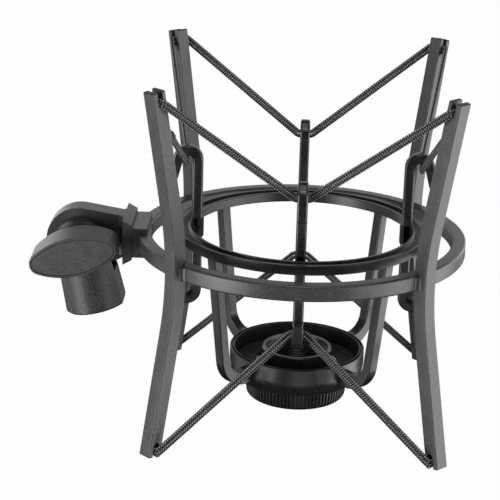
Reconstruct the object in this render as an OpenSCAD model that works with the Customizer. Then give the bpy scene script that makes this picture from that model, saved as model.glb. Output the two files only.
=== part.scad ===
// Elastic suspension mount for a large microphone: an outer frame on four
// legs, a cradle with a threaded seat hung inside it on doubled elastic
// cords, and a tilting stand adapter clamped by an oval knob.
// Z is up. The origin is on the cradle's axis at the level of the seat pad.

/* [Outer frame] */
// Outside radius of the outer ring
ring_r = 68.1; // [60:0.1:80]
// Radial width of the outer ring
ring_w = 5.7; // [4:0.1:7]
// Height of the outer ring
ring_h = 6.5; // [5:0.1:8]
// Height of the outer ring's top face above the seat
ring_top = 58; // [50:0.5:64]

/* [Legs] */
// Side of a leg's square section
leg_t = 6.1; // [5:0.1:7]
// Radius of a leg's outer face at the waist
leg_waist_r = 71.9; // [70:0.1:74]
// Bending radius of a leg's outer face at the waist
leg_bend_r = 125; // [100:5:160]
// Outward lean of the upper half of a leg
lean_up = 10.65; // [8:0.05:12]
// Outward lean of the lower half of a leg
lean_down = 11.1; // [8:0.05:12]
// Length of the straight upper part of a leg
leg_up = 51.7; // [45:0.1:60]
// Length of the straight lower part of a leg
leg_down = 51.4; // [45:0.1:60]
// Thickness of the wall outside a cord slot
slot_wall = 2.2; // [1.8:0.1:2.4]
// Width of a cord slot
slot_w = 2.2; // [2.1:0.05:2.4]
// Depth of a cord slot
slot_depth = 6.2; // [5.8:0.1:8]

/* [Cradle] */
// Inside radius of the inner ring
cradle_r = 45.5; // [45:0.1:47]
// Outside radius of the inner ring
cradle_ro = 51.7; // [50.5:0.1:53]
// Height of the inner ring's top above the seat
cradle_top = 60.5; // [58:0.5:64]
// Height of the inner ring
cradle_h = 4; // [3.5:0.1:5]
// Thickness of a hook post, measured along the radius
hook_t = 4.3; // [3.5:0.1:4.6]
// Width of a hook post across the radius
hook_w = 4.2; // [3.5:0.1:5]
// Inside radius of a hook's bend
hook_gap_r = 1.9; // [1.8:0.05:2.2]
// Height of the upper hook's bend centre above the seat
hook_up_z = 87.1; // [80:0.5:92]
// Height of the lower hook's bend centre above the seat
hook_down_z = 30.5; // [26:0.5:34]
// Outward slant of a hook's open end
hook_slant = 14; // [0:1:18]
// Width of a basket arm across the radius
arm_w = 4.8; // [4:0.1:6]
// Thickness of a basket arm, measured along the radius
arm_t = 4; // [3.5:0.1:5]

/* [Seat] */
// Outside radius of the cup
cup_r = 28.5; // [27:0.1:30]
// Height of the cup's rim above the seat
cup_rim = 6.65; // [5:0.05:8]
// Radius of the microphone thread in the lock ring
mic_thread_r = 12.8; // [12:0.1:13]
// Outside radius of the lock ring's sleeve
sleeve_r = 14.8; // [14.5:0.1:15]
// Outside radius of the lock ring's grip
grip_r = 21.8; // [20:0.1:23]
// Height of the lock ring's grip
grip_h = 8.2; // [6:0.1:9]

/* [Elastic cords] */
// Diameter of one cord
cord_d = 1.7; // [1.4:0.05:1.8]
// Spacing of the two cords of a pair
cord_gap = 1.78; // [1.76:0.01:1.85]

/* [Stand adapter] */
// Radius of the fixed lug's round end
lug_r = 14; // [13:0.1:15]
// Thickness of the fixed lug
lug_t = 9.5; // [8:0.1:10]
// Tilt of the adapter's axis from vertical
adapter_tilt = 13.2; // [0:0.1:14]
// Length of the adapter below its pivot
adapter_len = 30.6; // [30:0.1:36]
// Radius of the adapter at its lower end
adapter_r = 13.5; // [13:0.1:14]
// Length of the knob's oval face
knob_len = 36.6; // [30:0.1:36.8]
// Height of the knob's oval face
knob_hgt = 16.4; // [15:0.1:18]
// Turn of the knob's long side from level
knob_turn = 14.3; // [0:0.1:90]

/* [Hidden] */
$fn = 64;
eps = 0.02;
ring_low = ring_top - ring_h;
ring_mid = ring_top - ring_h / 2;
cradle_low = cradle_top - cradle_h;

// A leg's bend centre lies outside the frame, level with the outer ring
bend_x = leg_waist_r + leg_bend_r;
slot_in = slot_wall + slot_w / 2;
leg_angles = [225, 315, 45, 135];

// Hooks: bend centre and the two faces of the post
hook_x = 47.6;
post_out = hook_x - hook_gap_r;
hook_out_r = hook_gap_r + hook_t;
prong_up = 9.7;
prong_down = 8.2;

// Basket arms: outer face at the inner ring, lean, and the two bends
arm_top_x = 50.4;
arm_lean = 7.3;
arm_low_out = -2;
arm_low_in = 4.2;
arm_bend_out = 13.5;
arm_bend_in = 8;

// Cup
cup_in_r = cup_r - 2;
cup_low = -6;
cup_low_r = 25;
cup_straight = 1;
floor_z = -1.5;
hole_r = sleeve_r + 0.1;
clip_r = 17.2;
clip_z = floor_z + 0.05;
grip_top = cup_low - 0.3;
grip_low = grip_top - grip_h;

// Cord anchors: radius, height, and half the straight run through each
slot_cord_z = [125, -17.7];
hook_cord_z = [hook_up_z - 0.3, hook_down_z + 0.3];
hook_cord_r = 48.2;
slot_run = leg_t / 2 + 1.15;
hook_run = hook_w / 2 + 0.8;
slot_ease = 1.35;
hook_ease = 1.1;
cord_sides = 8;
curve_steps = 3;
joiner_d = 2.4;
joiner_len = 3.4;
joiner_off = 0.35;
// Corner each cord's joiner comes after, and how far along that span it sits
joiner_from = [[10, 2], [2, 6]];
joiner_at = 0.6;
leg_fillet = 1.8;

// Stand adapter: pivot line, lug and the two ears of the fork
pivot_x = -92.4;
pivot_z = 50.7;
lug_y = -1.5;
fork_y = lug_y + lug_t / 2;
flange_x = -73.4;
flange_half = 12.5;
neck_half = 11.8;
washer_t = 0.75;
fork_gap = 0.9;
slot_lo = lug_y - fork_gap;
slot_hi = lug_y + lug_t + fork_gap;
fork_floor = 15.8;
boss_lo = -10;
boss_hi = 16.5;
head_r = 10.4;
bolt_r = 3;
bolt_hole_r = 3.08;
nut_af = 10;
nut_t = 5;
knob_front = -24.8;
knob_back = -11.3;
knob_flare = 2.6;
thread_r = 7.45;
insert_r = 9.5;
insert_len = 12;

powder = "#2b2b2d";
satin = "#3a3a3c";
rubber = "#161617";
braid = "#232325";
steel = "#8c8c90";
brass = "#b08d57";

// ---- helpers ----------------------------------------------------------

// A rectangle with round corners, from (x0, y0) to (x1, y1)
module round_rect(x0, y0, x1, y1, r) {
    translate([x0 + r, y0]) square([x1 - x0 - 2 * r, y1 - y0]);
    translate([x0, y0 + r]) square([x1 - x0, y1 - y0 - 2 * r]);
    for (x = [x0 + r, x1 - r], y = [y0 + r, y1 - r])
        translate([x, y]) circle(r, $fn = 24);
}

// A flat drawing of radius and height, stood up along one direction
module upright(angle, width) {
    rotate([0, 0, angle]) rotate([90, 0, 0])
        linear_extrude(width, center = true) children();
}

// A flat drawing of x and z, given a thickness from y0 to y1
module along_y(y0, y1) {
    translate([0, y1, 0]) rotate([90, 0, 0])
        linear_extrude(y1 - y0) children();
}

// The part of a round band between two directions
module band(r0, r1, a0, a1) {
    intersection() {
        difference() {
            circle(r1, $fn = 180);
            circle(r0, $fn = 180);
        }
        polygon(concat([[0, 0]], [for (i = [0:6])
            let (a = a0 + (a1 - a0) * i / 6)
            2 * r1 * [cos(a), sin(a)]]));
    }
}

// Points of an arc
function arc(cx, cy, r, a0, a1, n) =
    [for (i = [0:n]) let (a = a0 + (a1 - a0) * i / n)
        [cx + r * cos(a), cy + r * sin(a)]];

function unit(v) = v / norm(v);

// Where a line from point p touches a circle, on the side given by s
function touch(p, c, r, s) =
    let (d = norm(c - p), a = s * asin(r / d), u = (c - p) / d,
         w = [u[0] * cos(a) - u[1] * sin(a), u[0] * sin(a) + u[1] * cos(a)])
    p + sqrt(d * d - r * r) * w;

// ---- outer frame ------------------------------------------------------

module outer_ring() {
    color(powder) difference() {
        rotate_extrude($fn = 180)
            round_rect(ring_r - ring_w, ring_low, ring_r, ring_top, 0.9);
        lug_screw_hole(1.6);
        translate([-64.5, 0, ring_mid]) rotate([0, 90, 0])
            cylinder(1.8, 1.6, 3);
        translate([-62.75, 0, ring_mid]) rotate([0, 90, 0])
            cylinder(4, 3, 3);
    }
}

// The straight half of a leg beyond its bend, with the cord slot at its end
module leg_half(side, lean, len) {
    translate([bend_x, ring_mid]) rotate(-side * lean)
        translate([-leg_bend_r - leg_t, side > 0 ? -eps : -len])
            difference() {
                square([leg_t, len + eps]);
                translate([leg_t - slot_in - slot_w / 2,
                           side > 0 ? len - slot_depth + slot_w / 2 + eps
                                    : -eps])
                    square([slot_w, slot_depth - slot_w / 2 + eps]);
                translate([leg_t - slot_in, side > 0
                        ? len - slot_depth + slot_w / 2 + eps
                        : slot_depth - slot_w / 2])
                    circle(slot_w / 2, $fn = 32);
            }
}

// Hollow fillet between one side of a leg and the outer ring's face
module leg_side_fillet() {
    c = [sqrt(pow(ring_r + leg_fillet, 2) - pow(leg_t / 2 + leg_fillet, 2)),
        leg_t / 2 + leg_fillet];
    translate([0, 0, ring_low + 0.4]) linear_extrude(ring_h - 1.2)
        difference() {
            polygon([[66, leg_t / 2 - 0.2], [c[0], leg_t / 2 - 0.2], c,
                0.96 * c, [66, leg_t / 2 + 1]]);
            translate(c) circle(leg_fillet, $fn = 48);
        }
}

module leg(angle) {
    color(powder) difference() {
        union() {
            upright(angle, leg_t) {
                translate([bend_x, ring_mid]) band(leg_bend_r,
                    leg_bend_r + leg_t, 180 - lean_up, 180 + lean_down);
                leg_half(1, lean_up, leg_up);
                leg_half(-1, lean_down, leg_down);
            }
            rotate([0, 0, angle]) {
                leg_side_fillet();
                mirror([0, 1, 0]) leg_side_fillet();
            }
        }
        rotate_extrude($fn = 180)
            round_rect(ring_r - ring_w, ring_low, ring_r, ring_top, 0.9);
    }
}

// Block that stands proud of the ring and carries the lug's flange
module neck_block() {
    x0 = -69.6;
    x1 = -63.4;
    color(powder) difference() {
        translate([x0, -neck_half, 47.4]) cube([x1 - x0, 2 * neck_half, 12.6]);
        rotate_extrude($fn = 180)
            round_rect(ring_r - ring_w, ring_low, ring_r, ring_top, 0.9);
        lug_screw_hole(1.7);
    }
}

module lug_screw_hole(r) {
    translate([-76.5, 0, ring_mid]) rotate([0, 90, 0]) cylinder(20, r, r);
}

// Flange plate and the single lug that the adapter's fork straddles
module fixed_lug() {
    top = [flange_x + eps, 61.8];
    low = [flange_x + eps, 44.3];
    pivot = [pivot_x, pivot_z];
    fillet = 3.2;
    color(powder) difference() {
        union() {
            along_y(-flange_half, flange_half) polygon([
                [flange_x, 44.3], [-69.6, 46.4], [-69.6, 61.4],
                [flange_x, 63.5]]);
            along_y(lug_y, lug_y + lug_t) {
                translate(pivot) circle(lug_r, $fn = 96);
                polygon([top, touch(top, pivot, lug_r, -1), pivot,
                    touch(low, pivot, lug_r, 1), low]);
            }
            // hollow fillets between the lug's two sides and the flange
            for (s = [-1, 1]) translate([flange_x + eps,
                    s < 0 ? lug_y + eps : lug_y + lug_t - eps, 44.9])
                linear_extrude(17) difference() {
                    translate([-fillet, s < 0 ? -fillet : 0])
                        square([fillet, fillet]);
                    translate([-fillet, s * fillet])
                        circle(fillet, $fn = 48);
                }
        }
        translate([pivot_x, lug_y - 1, pivot_z]) rotate([-90, 0, 0])
            cylinder(lug_t + 2, bolt_hole_r, bolt_hole_r);
        lug_screw_hole(1.55);
    }
}

// Countersunk screw from inside the ring into the lug
module lug_screw() {
    color(steel) translate([0, 0, ring_mid]) rotate([0, 90, 0])
        translate([0, 0, -76.3]) difference() {
            union() {
                cylinder(12, 1.5, 1.5);
                translate([0, 0, 11.9]) cylinder(1.7, 1.5, 2.9);
            }
            translate([0, 0, 12.4]) cylinder(3, 1.25, 1.25, $fn = 6);
        }
}

// ---- cradle -----------------------------------------------------------

module inner_ring() {
    rib = 1.3;
    groove = 1.25;
    color(powder) rotate_extrude($fn = 180) difference() {
        round_rect(cradle_r, cradle_low, cradle_ro, cradle_top, 0.5);
        translate([cradle_r + rib, cradle_top - groove])
            square([cradle_ro - cradle_r - 2 * rib, 2]);
    }
}

// One end of a hook strip: a bend and a slanted prong, opening downwards
module hook_end(prong) {
    band(hook_gap_r, hook_out_r, hook_slant, 180);
    rotate(hook_slant) polygon([
        [hook_gap_r, eps], [hook_gap_r + 0.2, -prong],
        [hook_out_r - 0.3, -prong], [hook_out_r, eps]]);
}

module hook(angle) {
    post_in = post_out - hook_t;
    color(powder) difference() {
        upright(angle, hook_w) {
            translate([hook_x, hook_up_z]) hook_end(prong_up);
            translate([hook_x, hook_down_z]) mirror([0, 1])
                hook_end(prong_down);
            translate([post_in, hook_down_z - eps])
                square([hook_t, hook_up_z - hook_down_z + 2 * eps]);
            // pads that spread the post where it meets the ring
            translate([post_in - 0.6, cradle_low - 1.5])
                square([hook_t + 0.6, cradle_h + 3]);
        }
        translate([0, 0, cradle_low]) difference() {
            cylinder(cradle_h, cradle_r + 9, cradle_r + 9, $fn = 180);
            translate([0, 0, -1])
                cylinder(cradle_h + 2, cradle_r, cradle_r, $fn = 180);
        }
    }
}

// Outline of a basket arm from the inner ring down and in to the cup
function arm_outline() =
    let (slope = tan(arm_lean), drop = arm_t / cos(arm_lean),
         zo = arm_low_out + arm_bend_out,
         zi = arm_low_in + arm_bend_in,
         xo = arm_top_x - (cradle_low - zo) * slope
            - arm_bend_out / cos(arm_lean),
         xi = arm_top_x - (cradle_low - zi) * slope - drop
            - arm_bend_in / cos(arm_lean))
    concat([[arm_top_x, cradle_low]],
        arc(xo, zo, arm_bend_out, -arm_lean, -90, 12),
        [[24, arm_low_out], [24, arm_low_in]],
        arc(xi, zi, arm_bend_in, -90, -arm_lean, 10),
        [[arm_top_x - drop, cradle_low]]);

module basket_arm(angle) {
    color(powder) difference() {
        upright(angle, arm_w) polygon(arm_outline());
        rotate_extrude($fn = 180) polygon(concat([[0, cup_low]],
            cup_side(), [[cup_r, 20], [0, 20]]));
    }
}

// ---- seat -------------------------------------------------------------

// Outside of the cup from its low edge up to the straight wall
function cup_side() =
    let (h = cup_straight - cup_low, w = cup_r - cup_low_r,
         r = (h * h + w * w) / (2 * w))
    arc(cup_r - r, cup_straight, r, -asin(h / r), 0, 8);

module cup() {
    color(powder) rotate_extrude($fn = 180) polygon(concat(
        [[hole_r, cup_low]], cup_side(),
        [[cup_r, cup_rim - 0.6], [cup_r - 0.6, cup_rim],
         [cup_in_r + 0.4, cup_rim], [cup_in_r, cup_rim - 0.4],
         [cup_in_r, floor_z], [hole_r, floor_z]]));
}

// Soft ring that the microphone's shoulder presses on
module seat_pad() {
    color(rubber) rotate_extrude($fn = 180)
        round_rect(clip_r + 0.3, floor_z, cup_in_r - 0.2, 0, 0.5);
}

// Ribbed nut with a sleeve that reaches up through the cup's floor
module lock_ring() {
    color(satin) difference() {
        rotate_extrude($fn = 180) polygon(concat(
            [[mic_thread_r, grip_low]],
            arc(grip_r - 2.6, grip_low + 2, 2, -90, -20, 6),
            [[grip_r, grip_top - 1.2], [grip_r - 0.3, grip_top],
             [sleeve_r, grip_top], [sleeve_r, clip_z],
             [sleeve_r - 0.5, clip_z], [sleeve_r - 0.5, clip_z + 1.1],
             [sleeve_r, clip_z + 1.1], [sleeve_r, cup_rim - 0.4],
             [sleeve_r - 0.4, cup_rim], [mic_thread_r, cup_rim]]));
    }
}

// Open spring clip that keeps the lock ring in the cup
module retaining_clip() {
    color(steel) translate([0, 0, clip_z + 0.05]) linear_extrude(1)
        difference() {
            circle(clip_r, $fn = 96);
            circle(sleeve_r - 0.45, $fn = 96);
            rotate(160) translate([0, -2]) square([30, 4]);
        }
}

// ---- elastic cords ----------------------------------------------------

// Radius of a cord slot's middle at height z, for the upper and lower end
function slot_r(level, z) =
    let (lean = level == 0 ? lean_up : lean_down,
         s = level == 0 ? 1 : -1)
    bend_x - (leg_bend_r + slot_in) / cos(lean)
        + s * (z - ring_mid) * tan(lean);

// Slope of a span between a slot and a hook
function cord_pitch(level) =
    let (rs = slot_r(level, slot_cord_z[level]),
         d = norm([rs * cos(45) - hook_cord_r, rs * sin(45)]))
    atan(abs(slot_cord_z[level] - hook_cord_z[level]) / d);

// Corner i of 16 on a cord's closed route; side is 1 for the upper cord
function cord_corner(level, side, i) =
    let (k = floor(i / 2), a = 45 * k, at_slot = k % 2 == 1,
         up = level == 0 ? 1 : -1,
         shift = side * up * cord_gap / 2 * tan(cord_pitch(level) / 2),
         run = at_slot ? slot_run + shift : hook_run - shift,
         t = (i % 2 == 0 ? -1 : 1) * run,
         z = at_slot ? slot_cord_z[level] : hook_cord_z[level],
         r = at_slot ? slot_r(level, z) : hook_cord_r)
    [r * cos(a) - t * sin(a), r * sin(a) + t * cos(a),
     z + side * cord_gap / 2];

function cord_route(level, side) =
    let (p = [for (i = [0:15]) cord_corner(level, side, i)])
    [for (i = [0:15])
        let (ease = floor(i / 2) % 2 == 1 ? slot_ease : hook_ease,
             a = p[i] + ease * unit(p[(i + 15) % 16] - p[i]),
             b = p[i] + ease * unit(p[(i + 1) % 16] - p[i]))
        for (s = [0:curve_steps]) let (f = s / curve_steps)
            (1 - f) * (1 - f) * a + 2 * f * (1 - f) * p[i] + f * f * b];

// A closed tube swept along a ring of points
module closed_tube(points, d) {
    n = len(points);
    m = cord_sides;
    function frame(j) =
        let (t = unit(points[(j + 1) % n] - points[(j + n - 1) % n]),
             s = unit(cross(t, [0, 0, 1])))
        [s, cross(s, t)];
    polyhedron(
        [for (j = [0:n - 1]) let (f = frame(j)) for (k = [0:m - 1])
            points[j] + d / 2 * (cos(360 * k / m) * f[0]
                + sin(360 * k / m) * f[1])],
        [for (j = [0:n - 1], k = [0:m - 1])
            let (j2 = (j + 1) % n, k2 = (k + 1) % m)
            [j * m + k, j * m + k2, j2 * m + k2, j2 * m + k]],
        convexity = 10);
}

module cord(level, side) {
    color(braid) closed_tube(cord_route(level, side), cord_d);
}

// Crimped sleeves, one where the two ends of each cord meet
module cord_joiners() {
    color(rubber) for (level = [0, 1], side = [-1, 1]) {
        i = joiner_from[level][side > 0 ? 0 : 1];
        a = cord_corner(level, side, i);
        b = cord_corner(level, side, i - 1);
        v = unit(b - a);
        flat = norm([v[0], v[1]]);
        away = side * joiner_off * [-v[2] * v[0] / flat,
            -v[2] * v[1] / flat, flat];
        translate(a + joiner_at * (b - a) + away)
            rotate([0, acos(v[2]), atan2(v[1], v[0])])
            cylinder(joiner_len, joiner_d / 2, joiner_d / 2,
                center = true, $fn = 32);
    }
}

// ---- stand adapter ----------------------------------------------------

// Puts a shape drawn along -Z from the pivot onto the tilted axis
module on_adapter_axis() {
    translate([pivot_x, fork_y, pivot_z]) rotate([0, -adapter_tilt, 0])
        children();
}

module pivot_rod(y0, y1, r) {
    translate([pivot_x, y0, pivot_z]) rotate([-90, 0, 0])
        cylinder(y1 - y0, r, r);
}

module stand_adapter() {
    taper = 0.0583;
    chamfer = 0.8;
    r_at_pivot = adapter_r - taper * adapter_len;
    r_at_top = r_at_pivot - taper * head_r;
    flat = 11.5;
    color(satin) difference() {
        union() {
            intersection() {
                on_adapter_axis() rotate_extrude($fn = 128) polygon([
                    [0, head_r], [r_at_top, head_r],
                    [adapter_r - taper * chamfer, chamfer - adapter_len],
                    [adapter_r - chamfer, -adapter_len],
                    [0, -adapter_len]]);
                on_adapter_axis() rotate([90, 0, 0])
                    linear_extrude(40, center = true) {
                        circle(head_r, $fn = 96);
                        polygon([[-head_r - 1.9, -10], [-head_r, 0],
                            [head_r, 0], [flat, -10],
                            [flat, -adapter_len - 1],
                            [-adapter_r - 1, -adapter_len - 1]]);
                    }
            }
            pivot_rod(boss_lo, 0, 6.5);
            pivot_rod(8, boss_hi, 7.2);
        }
        on_adapter_axis()
            translate([-25, slot_lo - fork_y, -fork_floor])
                cube([50, slot_hi - slot_lo, 50]);
        pivot_rod(boss_lo - 1, boss_hi + 1, bolt_hole_r);
        translate([pivot_x, boss_hi - nut_t, pivot_z])
            rotate([-90, 0, 0]) cylinder(nut_t + 1,
                nut_af / sqrt(3) + 0.06, nut_af / sqrt(3) + 0.06, $fn = 6);
        on_adapter_axis() translate([0, 0, -adapter_len - 1])
            cylinder(insert_len + 1, insert_r, insert_r);
    }
}

module thread_insert() {
    color(brass) on_adapter_axis() translate([0, 0, -adapter_len + 0.3])
        difference() {
            cylinder(insert_len - 0.3, insert_r, insert_r);
            translate([0, 0, -1])
                cylinder(insert_len + 2, thread_r, thread_r);
        }
}

module friction_washers() {
    color(rubber) for (y = [slot_lo, slot_hi - washer_t]) difference() {
        pivot_rod(y, y + washer_t, 9);
        pivot_rod(y - 1, y + washer_t + 1, bolt_hole_r);
    }
}

module clamp_nut() {
    color(steel) difference() {
        translate([pivot_x, boss_hi - nut_t, pivot_z])
            rotate([-90, 0, 0]) cylinder(nut_t,
                nut_af / sqrt(3), nut_af / sqrt(3), $fn = 6);
        pivot_rod(boss_hi - nut_t - 1, boss_hi + 1, bolt_r + 0.05);
    }
}

module knob_washer() {
    color(steel) difference() {
        pivot_rod(boss_lo - 1.1, boss_lo - 0.1, 6.3);
        pivot_rod(boss_lo - 2, boss_lo + 1, bolt_hole_r);
    }
}

// Oval drawn from two wide arcs and two tight end arcs
module oval(len, hgt, tight) {
    a = len / 2;
    b = hgt / 2;
    c = a - tight;
    wide = (c * c + b * b - tight * tight) / (2 * (b - tight));
    edge = c * wide / (wide - tight);
    intersection() {
        translate([0, b - wide]) circle(wide, $fn = 160);
        translate([0, wide - b]) circle(wide, $fn = 160);
        square([2 * edge, 2 * hgt], center = true);
    }
    for (x = [-c, c]) translate([x, 0]) circle(tight, $fn = 40);
}

module clamp_knob() {
    plate = 0.4;
    color(powder) difference() {
        translate([pivot_x, 0, pivot_z]) rotate([0, -knob_turn, 0]) hull() {
            along_y(knob_front, knob_front + plate)
                oval(knob_len, knob_hgt, 4.6, $fn = 32);
            along_y(knob_back - plate, knob_back)
                oval(knob_len, knob_hgt + knob_flare, 5.6, $fn = 32);
        }
        pivot_rod(knob_back - 9, knob_back + 1, bolt_r);
    }
}

// Bolt fixed in the knob; it screws into the captive nut
module clamp_bolt() {
    color(steel) pivot_rod(knob_back - 9, boss_hi + 0.2, bolt_r);
}

outer_ring();
leg(leg_angles[0]);  // leg_front_left
leg(leg_angles[1]);  // leg_front_right
leg(leg_angles[2]);  // leg_rear_right
leg(leg_angles[3]);  // leg_rear_left
neck_block();
fixed_lug();
lug_screw();
inner_ring();
hook(0);  // hook_right
hook(90);  // hook_rear
hook(180);  // hook_left
hook(270);  // hook_front
basket_arm(leg_angles[0]);  // basket_arm_front_left
basket_arm(leg_angles[1]);  // basket_arm_front_right
basket_arm(leg_angles[2]);  // basket_arm_rear_right
basket_arm(leg_angles[3]);  // basket_arm_rear_left
cup();
seat_pad();
lock_ring();
retaining_clip();
cord(0, 1);  // upper_cord_high
cord(0, -1);  // upper_cord_low
cord(1, 1);  // lower_cord_high
cord(1, -1);  // lower_cord_low
cord_joiners();
stand_adapter();
thread_insert();
friction_washers();
clamp_nut();
knob_washer();
clamp_knob();
clamp_bolt();
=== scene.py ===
import math

import bpy
from mathutils import Matrix, Vector


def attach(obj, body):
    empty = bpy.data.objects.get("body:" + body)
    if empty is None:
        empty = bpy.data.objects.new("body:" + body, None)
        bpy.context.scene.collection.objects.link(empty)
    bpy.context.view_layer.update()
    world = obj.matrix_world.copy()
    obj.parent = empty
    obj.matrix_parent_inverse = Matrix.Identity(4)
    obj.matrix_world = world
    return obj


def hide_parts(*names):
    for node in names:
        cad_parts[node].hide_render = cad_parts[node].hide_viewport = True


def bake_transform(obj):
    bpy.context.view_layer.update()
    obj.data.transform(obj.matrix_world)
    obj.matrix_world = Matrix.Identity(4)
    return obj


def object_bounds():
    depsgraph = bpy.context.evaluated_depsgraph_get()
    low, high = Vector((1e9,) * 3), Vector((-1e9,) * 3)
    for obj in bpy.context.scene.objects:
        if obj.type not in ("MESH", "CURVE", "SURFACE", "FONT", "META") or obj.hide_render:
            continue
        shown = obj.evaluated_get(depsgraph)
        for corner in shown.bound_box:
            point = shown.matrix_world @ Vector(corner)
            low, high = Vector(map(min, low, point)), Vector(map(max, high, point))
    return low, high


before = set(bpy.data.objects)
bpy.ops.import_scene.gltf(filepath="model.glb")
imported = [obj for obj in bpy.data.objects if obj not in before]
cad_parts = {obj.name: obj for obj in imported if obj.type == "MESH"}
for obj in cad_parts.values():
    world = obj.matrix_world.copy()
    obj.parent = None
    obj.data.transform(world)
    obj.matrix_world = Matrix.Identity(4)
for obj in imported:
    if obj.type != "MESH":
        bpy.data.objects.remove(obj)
cadLow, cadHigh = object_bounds()
print("frame loaded with", len(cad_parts), "nodes")

mm = 0.001
mergeGap = 0.002 * mm  # points closer than this are one point
legAngles = {"FrontLeft": 225, "FrontRight": 315, "RearRight": 45, "RearLeft": 135}
legNodes = {"FrontLeft": "front_left", "FrontRight": "front_right",
            "RearRight": "rear_right", "RearLeft": "rear_left"}
hookAngles = {"Right": 0, "Rear": 90, "Left": 180, "Front": 270}


def clearSelection():
    if bpy.context.object and bpy.context.object.mode != "OBJECT":
        bpy.ops.object.mode_set(mode="OBJECT")
    bpy.ops.object.select_all(action="DESELECT")


def workOn(piece):
    clearSelection()
    piece.select_set(True)
    bpy.context.view_layer.objects.active = piece


def editAll(piece):
    workOn(piece)
    bpy.ops.object.mode_set(mode="EDIT")
    bpy.ops.mesh.select_all(action="SELECT")


def leaveEdit():
    bpy.ops.object.mode_set(mode="OBJECT")


def pickPoints(piece, wanted):
    editAll(piece)
    bpy.ops.mesh.select_all(action="DESELECT")
    bpy.ops.mesh.select_mode(type="VERT")
    leaveEdit()
    for point in piece.data.vertices:
        point.select = wanted(point.co)
    bpy.ops.object.mode_set(mode="EDIT")


def closeUp(piece):
    editAll(piece)
    bpy.ops.mesh.remove_doubles(threshold=mergeGap)
    bpy.ops.mesh.select_all(action="SELECT")
    bpy.ops.mesh.normals_make_consistent(inside=False)
    leaveEdit()


def applyModifier(piece, kind, settings):
    workOn(piece)
    modifier = piece.modifiers.new(kind.title(), kind)
    for key, value in settings.items():
        setattr(modifier, key, value)
    bpy.ops.object.modifier_apply(modifier=modifier.name)


def roundEdges(piece, width, segments=3, angle=40):
    applyModifier(piece, "BEVEL", {
        "width": width, "segments": segments, "limit_method": "ANGLE",
        "angle_limit": math.radians(angle), "use_clamp_overlap": True, "miter_outer": "MITER_ARC"})


def cutAway(piece, cutter):
    applyModifier(piece, "BOOLEAN", {"operation": "DIFFERENCE", "solver": "EXACT", "object": cutter})
    bpy.data.objects.remove(cutter)


def smoothOver(piece, angle=35):
    workOn(piece)
    bpy.ops.object.shade_smooth_by_angle(angle=math.radians(angle))
    applyModifier(piece, "WEIGHTED_NORMAL", {"keep_sharp": True, "weight": 50})


def bakePlace(piece):
    workOn(piece)
    bpy.ops.object.transform_apply(location=True, rotation=True, scale=True)


def turnedCopy(source, name, angle):
    piece = source.copy()
    piece.data = source.data.copy()
    piece.name = name
    piece.data.name = name
    bpy.context.scene.collection.objects.link(piece)
    piece.rotation_euler.z = math.radians(angle)
    bakePlace(piece)
    return piece


def wear(piece, material, body, slot, *nodes):
    piece.data.materials.clear()
    piece.data.materials.append(material)
    if body:
        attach(piece, body)
    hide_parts(*nodes)


def pointOn(centre, radius, angle):
    turn = math.radians(angle)
    return (centre[0] + radius * math.cos(turn), centre[1] + radius * math.sin(turn))


def sweepBar(name, sections, width):
    # each section gives the two faces of the bar as points of radius and height
    def station(section):
        (x0, z0), (x1, z1) = section
        return (x0 + x1) / 2, (z0 + z1) / 2, math.atan2(z1 - z0, x1 - x0), math.hypot(x1 - x0, z1 - z0)

    x, z, turn, thick = station(sections[0])
    clearSelection()
    bpy.ops.mesh.primitive_plane_add(size=1, location=(x, 0, z))
    bar = bpy.context.object
    bar.name = name
    bakePlace(bar)
    editAll(bar)
    bpy.ops.transform.resize(value=(thick, width, 1), center_override=(x, 0, z))
    bpy.ops.transform.rotate(value=turn, orient_axis="Y", center_override=(x, 0, z))
    for section in sections[1:]:
        nextX, nextZ, nextTurn, nextThick = station(section)
        grow = nextThick / thick
        step = math.remainder(nextTurn - turn, 2 * math.pi)
        bpy.ops.mesh.extrude_region_move(
            TRANSFORM_OT_translate={"value": (nextX - x, 0, nextZ - z)})
        x, z, turn, thick = nextX, nextZ, nextTurn, nextThick
        bpy.ops.transform.rotate(value=step, orient_axis="Y", center_override=(x, 0, z))
        bpy.ops.transform.resize(value=(grow, 1, grow), center_override=(x, 0, z))
    closeUp(bar)
    return bar


def drawnLoop(name, points):
    # a closed loop of edges, drawn point by point
    clearSelection()
    bpy.ops.mesh.primitive_plane_add(size=mm, location=points[0])
    loop = bpy.context.object
    loop.name = name
    bakePlace(loop)
    editAll(loop)
    bpy.ops.mesh.merge(type="CENTER")
    here = Vector(points[0])
    for point in list(points[1:]) + [points[0]]:
        bpy.ops.mesh.extrude_vertices_move(
            TRANSFORM_OT_translate={"value": tuple(Vector(point) - here)})
        here = Vector(point)
    bpy.ops.mesh.select_all(action="SELECT")
    bpy.ops.mesh.remove_doubles(threshold=mergeGap)
    bpy.ops.mesh.select_all(action="SELECT")
    return loop


def turnedShape(name, outline, steps=144):
    # outline points are radius and height
    shape = drawnLoop(name, [(radius, 0, height) for radius, height in outline])
    bpy.ops.mesh.spin(steps=steps, angle=2 * math.pi, center=(0, 0, 0), axis=(0, 0, 1))
    closeUp(shape)
    return shape


def raisedShape(name, points, lift):
    # a filled loop pulled straight along lift
    shape = drawnLoop(name, points)
    bpy.ops.mesh.edge_face_add()
    bpy.ops.mesh.extrude_region_move(TRANSFORM_OT_translate={"value": lift})
    closeUp(shape)
    return shape


def joinPieces(main, extras):
    workOn(main)
    for extra in extras:
        extra.select_set(True)
    bpy.ops.object.join()


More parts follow.
